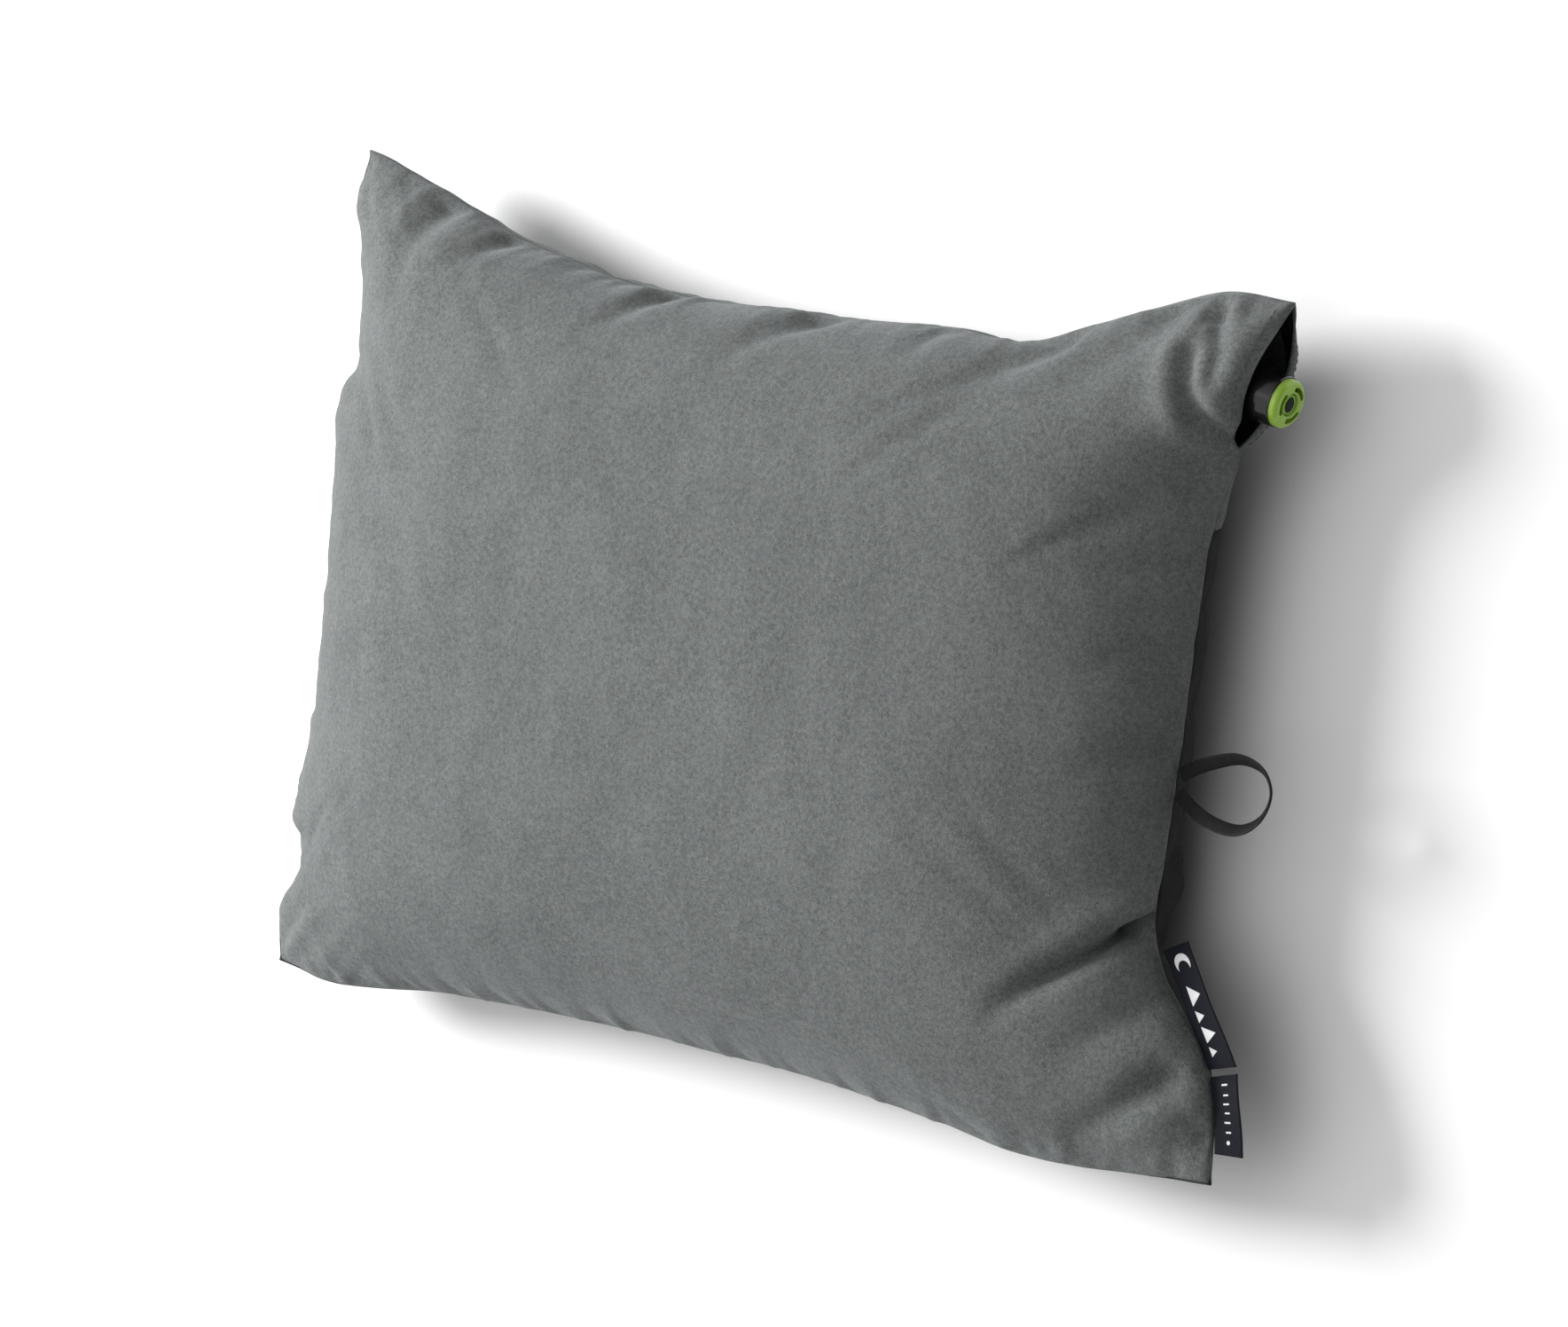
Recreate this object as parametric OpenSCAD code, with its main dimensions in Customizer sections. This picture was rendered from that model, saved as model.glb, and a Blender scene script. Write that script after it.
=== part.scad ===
// Camp pillow, lying on its back with the sleeping face up.
// X runs along the long edge, Y along the short edge, Z is up, and z = 0 is the flat rest face.

/* [Pillow] */
// Width of the fabric cover, between its corner tips
cover_w = 584; // [480:4:640]
// Depth of the fabric cover, between its corner tips
cover_d = 432; // [360:4:480]
// Height of the front panel over the side seam
front_rise = 61; // [52:1:70]
// Depth of the back panel under the side seam
back_rise = 50; // [46:1:60]
// How square the filled shape is: higher is boxier
fill_power = 3.2; // [2.6:0.1:4]
// How steeply the panels leave the seam: lower is steeper
edge_power = 0.56; // [0.5:0.02:0.7]
// Wall of the fabric cover
fabric_wall = 0.9; // [0.6:0.1:1.2]
// Thickness of the foam topper
foam_wall = 5; // [4:1:8]
// Wall of the air bladder's sheets
bladder_wall = 0.4; // [0.3:0.05:0.5]
// How much smaller the bladder is than the cover, at each side
bladder_inset = 28; // [27:1:32]
// Height of the cover's mouth at the valve, to each side of the seam
mouth_gap = 18; // [17:1:22]

/* [Valve] */
// Radius of the green cap ring
cap_r = 11.4; // [10.8:0.1:11.8]
// Radius of the knob at its foot
knob_r = 13.4; // [12.8:0.1:13.8]
// How far the knob moves out when it is opened
knob_travel = 4; // [3:0.5:4]
// Tilt of the valve in the plane of the seam
valve_tilt = 12; // [6:1:18]
// Number of finger scoops around the knob
scoops = 4; // [3:1:6]

/* [Trim] */
// Width of the elastic hang loop's band
loop_band = 7; // [5:0.5:8]
// Thickness of the elastic hang loop's band
loop_wall = 1.3; // [1:0.1:1.6]
// Thickness of a folded woven label
label_wall = 1.0; // [0.8:0.1:1.4]

/* [Hidden] */
$fn = 64;

z0 = back_rise;
kx = cover_w / 584;
ky = cover_d / 432;
nu = 28;
nv = 20;

// corner tips, and how far each edge lies inside the straight line between its corners
c_tl = [-290 * kx, 215 * ky];
c_tr = [289 * kx, 200 * ky];
c_br = [309 * kx, -200 * ky];
c_bl = [-285 * kx, -214 * ky];
dip_right = [0, 6, 41, 41, 38, 36, 31, 12, 0];
dip_left = [0, -4, 9, 1, 4, 8, 8, 7, 6, 4, 2.5, 1.5, 9.5, 10, 4.5, -5, 0];
dip_top = [0, 8.6, 19.5, 31, 37.5, 43.5, 45.5, 45.5, 43, 42.3, 39.8, 37.5, 38.5, 25.5, 12, 0, 0];
dip_bottom = [0, -5, -2, 3, 5, 6.3, 7, 7.3, 6.3, 6.3, 4.8, 1.7, -1.8, -6.5, -6, -2.5, 0];

function cubic(a, b, c, d, t) =
    0.5 * (2 * b + (c - a) * t + (2 * a - 5 * b + 4 * c - d) * t * t + (3 * b - a - 3 * c + d) * t * t * t);

// a smooth value along an edge, for s from -1 to 1
function along(list, s) =
    let (n = len(list) - 1, f = (s + 1) / 2 * n, i = min(n - 1, floor(f)))
    cubic(list[max(0, i - 1)], list[i], list[i + 1], list[min(n, i + 2)], f - i);

function plan(u, v) =
    let (a = (1 + u) / 2, b = (1 + v) / 2,
        flat = (1 - a) * (1 - b) * c_bl + a * (1 - b) * c_br + (1 - a) * b * c_tl + a * b * c_tr,
        in_x = u > 0 ? along(dip_right, v) : along(dip_left, v),
        in_y = v > 0 ? along(dip_top, u) : along(dip_bottom, u))
    [flat[0] - in_x * u * u * u, flat[1] - in_y * v * v * v];

function ramp(t) = let (s = max(0, min(1, t))) s * s * (3 - 2 * s);

// how full the pillow is: 1 in the middle, 0 at the seam, and slack at the lower right corner
function full(u, v) =
    pow((1 - pow(abs(u), fill_power)) * (1 - pow(abs(v), fill_power)), edge_power)
    * (1 - 0.3 * exp(-(pow(u - 0.95, 2) + pow(v + 0.95, 2)) / 0.12));

// the cover's open mouth near the upper right corner, and the bladder's neck inside it
function arch(v, low, high) = v > low && v < high ? sin(180 * (v - low) / (high - low)) : 0;
function mouth(u, v) = mouth_gap * arch(v, 0.64, 1) * ramp((u - 0.8) / 0.2);
function neck(u, v) = 7.5 * pow(arch(v, 0.72, 1), 2) * ramp((u - 0.8) / 0.2);

function front_z(u, v) = front_rise * full(u, v);
function back_z(u, v) = min(back_rise, 1.5 * back_rise * full(u, v));

// grid steps, closer together towards the seam
function step_u(i) = sin(90 * (2 * i / nu - 1));
function step_v(j) = sin(90 * (2 * j / nv - 1));

function shrunk(u, v, inset) =
    let (p = plan(u, v)) [p[0] * (1 - inset / (292 * kx)), p[1] * (1 - inset / (216 * ky))];

function front_point(u, v, inset) =
    let (p = shrunk(u, v, inset))
    [p[0], p[1], z0 + front_z(u, v) * (1 - inset / front_rise) + mouth(u, v) * (1 - inset / 12)];

function back_point(u, v, inset) =
    let (p = shrunk(u, v, inset))
    [p[0], p[1], z0 - back_z(u, v) * (1 - inset / back_rise) - mouth(u, v) * (1 - inset / 12)];

// a closed solid between two grids of points, the first above the second
module slab(top, bottom, ni, nj) {
    n = (ni + 1) * (nj + 1);
    ring = concat(
        [for (i = [0:ni - 1]) i * (nj + 1)],
        [for (j = [0:nj - 1]) ni * (nj + 1) + j],
        [for (i = [ni:-1:1]) i * (nj + 1) + nj],
        [for (j = [nj:-1:1]) j]);
    m = len(ring);
    over = [for (i = [0:ni - 1], j = [0:nj - 1], k = [0:1])
        let (a = i * (nj + 1) + j, b = a + nj + 1, c = b + 1, d = a + 1)
        k == 0 ? [a, d, c] : [a, c, b]];
    under = [for (f = over) [f[2] + n, f[1] + n, f[0] + n]];
    sides = [for (k = [0:m - 1], h = [0:1])
        let (a = ring[k], b = ring[(k + 1) % m])
        h == 0 ? [a, b, b + n] : [a, b + n, a + n]];
    polyhedron(points = concat(top, bottom), faces = concat(sides, over, under), convexity = 6);
}

module cover_front_panel() {
    color("dimgray")
    slab(
        [for (i = [0:nu], j = [0:nv]) front_point(step_u(i), step_v(j), 0)],
        [for (i = [0:nu], j = [0:nv]) front_point(step_u(i), step_v(j), fabric_wall)],
        nu, nv);
}

// the back is sewn from two pieces that meet along a cross seam
band_v = 0.52;
band_gap = 0.0006;

function rows_between(low, high) = concat(
    [low],
    [for (j = [0:nv]) if (step_v(j) > low + 0.01 && step_v(j) < high - 0.01) step_v(j)],
    [high]);

module back_piece(rows) {
    slab(
        [for (i = [0:nu], v = rows) back_point(step_u(i), v, fabric_wall)],
        [for (i = [0:nu], v = rows) back_point(step_u(i), v, 0)],
        nu, len(rows) - 1);
}

module cover_back_panel() {
    color([0.17, 0.17, 0.18])
    back_piece(rows_between(-1, band_v - band_gap / 2));
}

// a band of the front's fabric, across the back behind the mouth
module cover_back_band() {
    color("dimgray")
    back_piece(rows_between(band_v + band_gap / 2, 1));
}

// hem tapes inside the two lips of the mouth
hem_n = 12;
function hem_u(i) = 0.99 - 0.035 * (1 - i / 2);
function hem_v(j) = 0.7 + 0.27 * j / hem_n;

module mouth_hem_front() {
    color("black")
    slab(
        [for (i = [0:2], j = [0:hem_n]) front_point(hem_u(i), hem_v(j), 2.2)],
        [for (i = [0:2], j = [0:hem_n]) front_point(hem_u(i), hem_v(j), 3.0)],
        2, hem_n);
}

module mouth_hem_back() {
    color("black")
    slab(
        [for (i = [0:2], j = [0:hem_n]) back_point(hem_u(i), hem_v(j), 3.0)],
        [for (i = [0:2], j = [0:hem_n]) back_point(hem_u(i), hem_v(j), 2.2)],
        2, hem_n);
}

// the foam lies between the front panel and the bladder, and stops short of the seam
foam_edge = 4;
foam_gap = 0.5;
foam_under = fabric_wall + foam_gap + foam_wall;

function foam_low(u, v) =
    let (p = shrunk(u, v, bladder_inset - 1.5))
    [p[0], p[1], z0 + front_z(u, v) * (1 - foam_under / front_rise) + neck(u, v) * 1.08 + 1];

module foam_topper() {
    ni = nu - 2 * foam_edge;
    nj = nv - 2 * foam_edge;
    color("khaki")
    slab(
        [for (i = [0:ni], j = [0:nj])
            front_point(step_u(i + foam_edge), step_v(j + foam_edge), fabric_wall + foam_gap)],
        [for (i = [0:ni], j = [0:nj]) foam_low(step_u(i + foam_edge), step_v(j + foam_edge))],
        ni, nj);
}

// the bladder's sheets: a dome each, with a flat welded flange around it
flange_w = 6;
top_scale = 1 - (foam_under + 0.6) / front_rise;
bottom_scale = 1 - (fabric_wall + 1.1) / back_rise;
seam_half = 0.05;

function flange_at(i, n) = i == 0 || i == n;
function grid_step(i, n) = i == 0 ? -1 : i == n ? 1 : sin(90 * (2 * (i - 1) / (n - 2) - 1));

function sheet_point(i, j, skin, up) =
    let (u = grid_step(i, nu + 2), v = grid_step(j, nv + 2),
        on_flange = flange_at(i, nu + 2) || flange_at(j, nv + 2),
        inset = on_flange ? bladder_inset - flange_w : bladder_inset + (skin == 0 ? 0 : bladder_wall),
        p = shrunk(u, v, inset),
        rise = up ? top_scale * front_z(u, v) : bottom_scale * back_z(u, v),
        z = rise + neck(u, v) + seam_half + (skin == 0 ? bladder_wall : 0))
    [p[0], p[1], up ? z0 + z : z0 - z];

module bladder_top_sheet() {
    color([0.85, 0.85, 0.8])
    slab(
        [for (i = [0:nu + 2], j = [0:nv + 2]) sheet_point(i, j, 0, true)],
        [for (i = [0:nu + 2], j = [0:nv + 2]) sheet_point(i, j, 1, true)],
        nu + 2, nv + 2);
}

module bladder_bottom_sheet() {
    color([0.75, 0.75, 0.7])
    slab(
        [for (i = [0:nu + 2], j = [0:nv + 2]) sheet_point(i, j, 1, false)],
        [for (i = [0:nu + 2], j = [0:nv + 2]) sheet_point(i, j, 0, false)],
        nu + 2, nv + 2);
}

// baffle webs tie the two sheets together, along the long way of the pillow
web_wall = 0.5;
web_gap = 0.5;

module baffle_web(row) {
    first = 4;
    ni = nu + 2 - 2 * first;
    top = [for (i = [0:ni], k = [0:1])
        let (p = sheet_point(i + first, row, 1, true)) [p[0], p[1] + (k - 0.5) * web_wall, p[2] - web_gap]];
    bottom = [for (i = [0:ni], k = [0:1])
        let (p = sheet_point(i + first, row, 1, false)) [p[0], p[1] + (k - 0.5) * web_wall, p[2] + web_gap]];
    color([0.7, 0.75, 0.8])
    slab(top, bottom, ni, 1);
}

module baffle_web_1() { baffle_web(6); }
module baffle_web_2() { baffle_web(9); }
module baffle_web_3() { baffle_web(11); }
module baffle_web_4() { baffle_web(13); }
module baffle_web_5() { baffle_web(16); }

// the valve is drawn along +Z from its own origin, then laid into the plane of the seam
valve_x = 263.5;
valve_y = 160.6;

module at_valve() {
    translate([valve_x * kx, valve_y * ky, z0])
    rotate([0, 0, -valve_tilt])
    rotate([0, 90, 0])
    children();
}

stem_r = 7.5;
rim_r = 9.2;
rim_low = 22;
bore_r = 9.3;

// the clip on the knob comes this close to the rim when the knob is open
clip_h = 1.5;
clip_gap = 0.2;

// a boat-shaped foot that is welded between the two sheets
module valve_base() {
    color([0.2, 0.2, 0.2])
    at_valve()
    difference() {
        union() {
            intersection() {
                translate([-13, 0, -7]) cylinder(r = 18.5, h = 8, $fn = 128);
                translate([13, 0, -7]) cylinder(r = 18.5, h = 8, $fn = 128);
            }
            cylinder(r = 6.8, h = 2);
        }
        translate([0, 0, -8]) cylinder(r = 4, h = 12);
    }
}

// the fixed tube, with a stop rim at its end and a seat inside for the plug
module valve_stem() {
    color([0.1, 0.1, 0.1])
    at_valve()
    rotate_extrude()
    polygon([
        [4, 2.05], [10, 2.05], [10, 3.6], [stem_r, 3.6], [stem_r, rim_low], [rim_r, rim_low + 0.4],
        [rim_r, 24], [6.4, 24], [6.4, 17.9], [4, 17.9]]);
}

// the ring that seals the knob's bore to the stem, and slides with the knob
module stem_ring() {
    color([0.3, 0.3, 0.3])
    at_valve()
    translate([0, 0, 12])
    rotate_extrude()
    translate([(stem_r + bore_r) / 2, 0]) circle(r = (bore_r - stem_r) / 2 - 0.05);
}

scoop_angle = 45;

module valve_knob() {
    color([0.06, 0.06, 0.06])
    at_valve()
    difference() {
        rotate_extrude()
        polygon([
            [2.6, 24.7], [bore_r, 24.7], [bore_r, 5], [knob_r - 0.8, 5], [knob_r, 5.8],
            [knob_r, 8], [12.1, 26.2], [11.9, 27], [2.6, 27]]);
        slots(24, 28);
        for (k = [0:scoops - 1])
            rotate([0, 0, scoop_angle + k * 360 / scoops])
            translate([knob_r + 5.6, 0, 4])
            rotate([0, 7, 0])
            cylinder(r = 8.2, h = 24);
    }
}

// three arc-shaped air slots
slot_in = 6.3;
slot_out = 8.6;
slot_arc = 62;

module slots(low, high) {
    for (k = [0:2])
        rotate([0, 0, k * 120 + 30])
        translate([0, 0, low])
        union() {
            rotate_extrude(angle = slot_arc)
            translate([slot_in, 0]) square([slot_out - slot_in, high - low]);
            for (turn = [0, slot_arc])
                rotate([0, 0, turn])
                translate([(slot_in + slot_out) / 2, 0, 0])
                cylinder(r = (slot_out - slot_in) / 2 - 0.03, h = high - low);
        }
}

// a split ring that keeps the knob on the stem's rim
module knob_clip() {
    color([0.55, 0.55, 0.55])
    at_valve()
    translate([0, 0, rim_low - clip_h - clip_gap - knob_travel])
    difference() {
        cylinder(r = bore_r - 0.05, h = clip_h);
        translate([0, 0, -1]) cylinder(r = stem_r + 0.1, h = 4);
        translate([0, -0.6, -1]) cube([12, 1.2, 4]);
    }
}

module valve_plug() {
    color([0.12, 0.12, 0.12])
    at_valve()
    union() {
        translate([0, 0, 18.9]) cylinder(r = 5.4, h = 1.6);
        translate([0, 0, 20.4]) cylinder(r = 2.5, h = 7.6);
        translate([0, 0, 28]) cylinder(r = 1.6, h = 1);
    }
}

module plug_seal() {
    color([0.35, 0.35, 0.35])
    at_valve()
    translate([0, 0, 17.95])
    difference() {
        cylinder(r = 5.5, h = 0.9);
        translate([0, 0, -1]) cylinder(r = 2.2, h = 3);
    }
}

// the domed end ring of the knob
module cap_ring() {
    color([0.65, 0.8, 0.31])
    at_valve()
    difference() {
        rotate_extrude()
        polygon([
            [5.2, 27.05], [cap_r, 27.05], [cap_r, 29.3], [cap_r - 0.5, 30.2], [cap_r - 1.4, 31],
            [cap_r - 2.8, 31.5], [7.6, 31.7], [6.4, 31.6], [5.6, 31.2], [5.2, 30.4]]);
        slots(26, 33);
    }
}

// the ribbed middle of the end ring, on the plug's tip
module cap_hub() {
    color([0.58, 0.74, 0.27])
    at_valve()
    difference() {
        union() {
            translate([0, 0, 28.05]) cylinder(r = 4.6, h = 2.2);
            for (k = [0:17])
                rotate([0, 0, k * 20])
                translate([4.3, -0.25, 28.05]) cube([0.75, 0.5, 2.2]);
        }
        translate([0, 0, 27]) cylinder(r = 1.65, h = 2.2);
    }
}

module cap_badge() {
    color([0.1, 0.1, 0.12])
    at_valve()
    translate([0, 0, 30.3])
    linear_extrude(height = 0.5)
    intersection() {
        translate([1.1, 0]) circle(r = 3.9);
        translate([-1.1, 0]) circle(r = 3.9);
    }
}

// the hang loop's band stands on edge and leaves the side seam in a teardrop
loop_path = [[262.9, -19], [275, -12.5], [292, -7], [306, -10], [312, -20], [308, -32],
    [296, -39], [278, -36.5], [262.9, -28]];
loop_n = 40;

function loop_at(s) =
    let (n = len(loop_path) - 1, f = s * n, i = min(n - 1, floor(f)))
    cubic(loop_path[max(0, i - 1)], loop_path[i], loop_path[i + 1], loop_path[min(n, i + 2)], f - i);

function loop_side(s, off) =
    let (a = loop_at(max(0, s - 0.01)), b = loop_at(min(1, s + 0.01)), d = b - a, p = loop_at(s))
    p + off * [-d[1], d[0]] / norm(d);

module hang_loop() {
    color([0.08, 0.08, 0.08])
    translate([0, 0, z0 - loop_band / 2])
    linear_extrude(height = loop_band)
    scale([kx, ky])
    polygon(concat(
        [for (k = [0:loop_n]) loop_side(k / loop_n, loop_wall / 2)],
        [for (k = [loop_n:-1:0]) loop_side(k / loop_n, -loop_wall / 2)]));
}

// folded woven labels that are sewn into the side seam: the root edge follows the seam
seam_gap = 0.7;
function seam_at(j) =
    let (a = plan(1, step_v(floor(j))), b = plan(1, step_v(floor(j) + 1)), p = a + (b - a) * (j - floor(j)))
    [p[0] + seam_gap, p[1]];
function label_root(from, to) = [for (k = [0:8]) seam_at(from + (to - from) * k / 8)];

module label(from, to, outer) {
    translate([0, 0, z0 - label_wall / 2])
    linear_extrude(height = label_wall)
    polygon(concat(label_root(from, to), [for (p = outer) [p[0] * kx, p[1] * ky]]));
}

module main_label() {
    color([0.1, 0.1, 0.16])
    label(6.65, 4.65, [[314, -144], [298, -120], [279, -93]]);
}

module small_label() {
    color([0.1, 0.1, 0.16])
    label(4.5, 2.4, [[324, -184], [315, -147]]);
}

cover_front_panel();
cover_back_panel();
cover_back_band();
mouth_hem_front();
mouth_hem_back();
hang_loop();
main_label();
small_label();
foam_topper();
bladder_top_sheet();
bladder_bottom_sheet();
baffle_web_1();
baffle_web_2();
baffle_web_3();
baffle_web_4();
baffle_web_5();
valve_base();
valve_stem();
stem_ring();
valve_knob();
knob_clip();
valve_plug();
plug_seal();
cap_ring();
cap_hub();
cap_badge();
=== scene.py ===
"""Camp pillow: the looks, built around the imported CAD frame.

The scene is in metres. Shapes are worked out in millimetres, and MM turns them into metres.
"""
import math

import bmesh
import bpy
import numpy as np
from mathutils import Matrix, Vector
from mathutils.bvhtree import BVHTree


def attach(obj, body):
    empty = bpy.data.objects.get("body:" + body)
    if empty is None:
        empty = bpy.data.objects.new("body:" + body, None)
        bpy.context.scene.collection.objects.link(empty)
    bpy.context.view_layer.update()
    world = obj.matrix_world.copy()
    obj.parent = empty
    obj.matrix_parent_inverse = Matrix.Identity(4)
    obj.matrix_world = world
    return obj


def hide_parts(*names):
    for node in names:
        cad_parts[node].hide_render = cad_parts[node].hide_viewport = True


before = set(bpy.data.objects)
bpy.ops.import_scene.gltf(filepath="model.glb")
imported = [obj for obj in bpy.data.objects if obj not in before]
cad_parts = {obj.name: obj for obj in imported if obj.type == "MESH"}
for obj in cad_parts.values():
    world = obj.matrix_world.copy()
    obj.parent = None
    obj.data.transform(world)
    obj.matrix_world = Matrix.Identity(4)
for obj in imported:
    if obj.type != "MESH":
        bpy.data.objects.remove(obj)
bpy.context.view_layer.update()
MM = 0.001
scene = bpy.context.scene


# ---------------------------------------------------------------- camera, floor and light

def make_camera():
    """A long lens over the right-hand side, so that the front panel and the right seam show."""
    right = Vector((0.770, 0.128, -0.625))
    back = Vector((0.618, 0.092, 0.781)).normalized()
    right = (right - right.dot(back) * back).normalized()
    up = back.cross(right)
    data = bpy.data.cameras.new("camera")
    data.lens = 112
    data.sensor_width = 36
    data.clip_start = 0.05
    data.clip_end = 30
    camera = bpy.data.objects.new("camera", data)
    place = Matrix((right, up, back)).transposed().to_4x4()
    place.translation = Vector((1.488, 0.212, 1.898))
    camera.matrix_world = place
    scene.collection.objects.link(camera)
    scene.camera = camera
    return place


def make_light(name, location, target, size, power, colour=(1, 1, 1)):
    data = bpy.data.lights.new(name, "AREA")
    data.shape = "DISK"
    data.size = size
    data.energy = power
    data.color = colour
    lamp = bpy.data.objects.new(name, data)
    lamp.location = location
    aim = Vector(target) - Vector(location)
    lamp.rotation_mode = "QUATERNION"
    lamp.rotation_quaternion = aim.to_track_quat("-Z", "Y")
    scene.collection.objects.link(lamp)


def make_stage():
    mesh = bpy.data.meshes.new("floor")
    half = 6.0
    mesh.from_pydata(
        [(-half, -half, 0), (half, -half, 0), (half, half, 0), (-half, half, 0)], [], [(0, 1, 2, 3)])
    floor = bpy.data.objects.new("floor", mesh)
    scene.collection.objects.link(floor)
    mat = bpy.data.materials.new("floor")
    mat.use_nodes = True
    shader = mat.node_tree.nodes["Principled BSDF"]
    shader.inputs["Base Color"].default_value = (0.86, 0.86, 0.86, 1)
    shader.inputs["Roughness"].default_value = 0.9
    mesh.materials.append(mat)
    world = bpy.data.worlds.new("studio")
    scene.world = world
    world.use_nodes = True
    tree = world.node_tree
    ground = tree.nodes["Background"]
    ground.inputs["Color"].default_value = (1, 1, 1, 1)
    # the room is bright on the left and above, and dim on the right
    direction = tree.nodes.new("ShaderNodeTexCoord")
    towards = tree.nodes.new("ShaderNodeVectorMath")
    towards.operation = "DOT_PRODUCT"
    towards.inputs[1].default_value = (-0.72, -0.10, 0.69)
    level = tree.nodes.new("ShaderNodeMapRange")
    level.inputs["From Min"].default_value = -0.1
    level.inputs["From Max"].default_value = 0.95
    level.inputs["To Min"].default_value = 0.03
    level.inputs["To Max"].default_value = 1.15
    tree.links.new(direction.outputs["Generated"], towards.inputs[0])
    tree.links.new(towards.outputs["Value"], level.inputs["Value"])
    tree.links.new(level.outputs["Result"], ground.inputs["Strength"])
    scene.view_settings.view_transform = "Standard"


# ---------------------------------------------------------------- the pillow's shape, in mm

SEAM_Z = 50.0
FRONT_RISE = 61.0
BACK_RISE = 50.0
MOUTH_GAP = 18
MOUTH_LOW = 0.64
CORNER_TL = (-290, 215)
CORNER_TR = (289, 200)
CORNER_BR = (309, -200)
CORNER_BL = (-285, -214)
DIP_RIGHT = (0, 6, 41, 41, 38, 36, 31, 12, 0)
DIP_LEFT = (0, -4, 9, 1, 4, 8, 8, 7, 6, 4, 2.5, 1.5, 9.5, 10, 4.5, -5, 0)
DIP_TOP = (0, 8.6, 19.5, 31, 37.5, 43.5, 45.5, 45.5, 43, 42.3, 39.8, 37.5, 38.5, 25.5, 12, 0, 0)
DIP_BOTTOM = (0, -5, -2, 3, 5, 6.3, 7, 7.3, 6.3, 6.3, 4.8, 1.7, -1.8, -6.5, -6, -2.5, 0)


def along(values, s):
    """A smooth value along an edge, for s from -1 to 1."""
    values = np.array(values, float)
    last = len(values) - 1
    place = (np.asarray(s, float) + 1) / 2 * last
    i = np.clip(np.floor(place).astype(int), 0, last - 1)
    t = place - i
    a = values[np.maximum(i - 1, 0)]
    b = values[i]
    c = values[i + 1]
    d = values[np.minimum(i + 2, last)]
    return 0.5 * (2 * b + (c - a) * t + (2 * a - 5 * b + 4 * c - d) * t ** 2
                  + (3 * b - a - 3 * c + d) * t ** 3)


def ramp(t):
    """A smooth rise from 0 to 1 while t goes from 0 to 1."""
    s = np.clip(t, 0, 1)
    return s * s * (3 - 2 * s)


def plan(u, v):
    """Where a place on a panel lies as seen from above, for u and v from -1 to 1."""
    a = (1 + u) / 2
    b = (1 + v) / 2
    flat = [(1 - a) * (1 - b) * CORNER_BL[k] + a * (1 - b) * CORNER_BR[k]
            + (1 - a) * b * CORNER_TL[k] + a * b * CORNER_TR[k] for k in (0, 1)]
    in_x = np.where(u > 0, along(DIP_RIGHT, v), along(DIP_LEFT, v))
    in_y = np.where(v > 0, along(DIP_TOP, u), along(DIP_BOTTOM, u))
    return flat[0] - in_x * u ** 3, flat[1] - in_y * v ** 3


def full(u, v, power=3.2, steep=0.56):
    """How full the pillow is, from 0 at the seam to 1 in the middle, with one slack corner."""
    round_off = (1 - np.abs(u) ** power) * (1 - np.abs(v) ** power)
    slack = 1 - 0.3 * np.exp(-((u - 0.95) ** 2 + (v + 0.95) ** 2) / 0.12)
    return np.clip(round_off, 0, 1) ** steep * slack


def hump(v, low, high):
    """A half wave between low and high, and 0 outside them."""
    inside = (v > low) & (v < high)
    return np.where(inside, np.sin(np.pi * (v - low) / (high - low)), 0)


def mouth(u, v):
    """How far each lip stands off the seam plane."""
    return MOUTH_GAP * hump(v, MOUTH_LOW, 1.0) * ramp((u - 0.8) / 0.2)


NU = 216
NV = 168


def even_steps(height, half_length):
    """Where grid lines fall from -1 to 1, so that they are evenly spaced over the dome."""
    fine = np.sin(np.linspace(-1, 1, 2001) * np.pi / 2)
    zero = np.zeros_like(fine)
    rise = height(fine, zero)
    run = np.concatenate([[0], np.cumsum(np.hypot(np.diff(fine) * half_length, np.diff(rise)))])
    return run / run[-1] * 2 - 1, fine


def grid(nu=NU, nv=NV):
    """Grid lines, even over the dome in the middle, and even along the seam at the edges."""
    s, t = np.meshgrid(np.linspace(-1, 1, nu + 1), np.linspace(-1, 1, nv + 1), indexing="ij")
    run_u, at_u = even_steps(lambda p, q: FRONT_RISE * full(p, q), 285)
    run_v, at_v = even_steps(lambda p, q: FRONT_RISE * full(q, p), 190)
    u = np.interp(s, run_u, at_u)
    v = np.interp(t, run_v, at_v)
    return u + (s - u) * np.abs(t) ** 5, v + (t - v) * np.abs(s) ** 5


def front_shape(u, v):
    x, y = plan(u, v)
    return np.stack([x, y, SEAM_Z + FRONT_RISE * full(u, v) + mouth(u, v)], -1)


def back_shape(u, v):
    x, y = plan(u, v)
    drop = np.minimum(BACK_RISE, 1.5 * BACK_RISE * full(u, v))
    return np.stack([x, y, SEAM_Z - drop - mouth(u, v)], -1)


def grid_faces(ni, nj, flip=False):
    """The quads of a grid of ni by nj cells."""
    i, j = np.meshgrid(np.arange(ni), np.arange(nj), indexing="ij")
    a = (i * (nj + 1) + j).ravel()
    quads = np.stack([a, a + nj + 1, a + nj + 2, a + 1], -1)
    return quads[:, ::-1] if flip else quads


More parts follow.
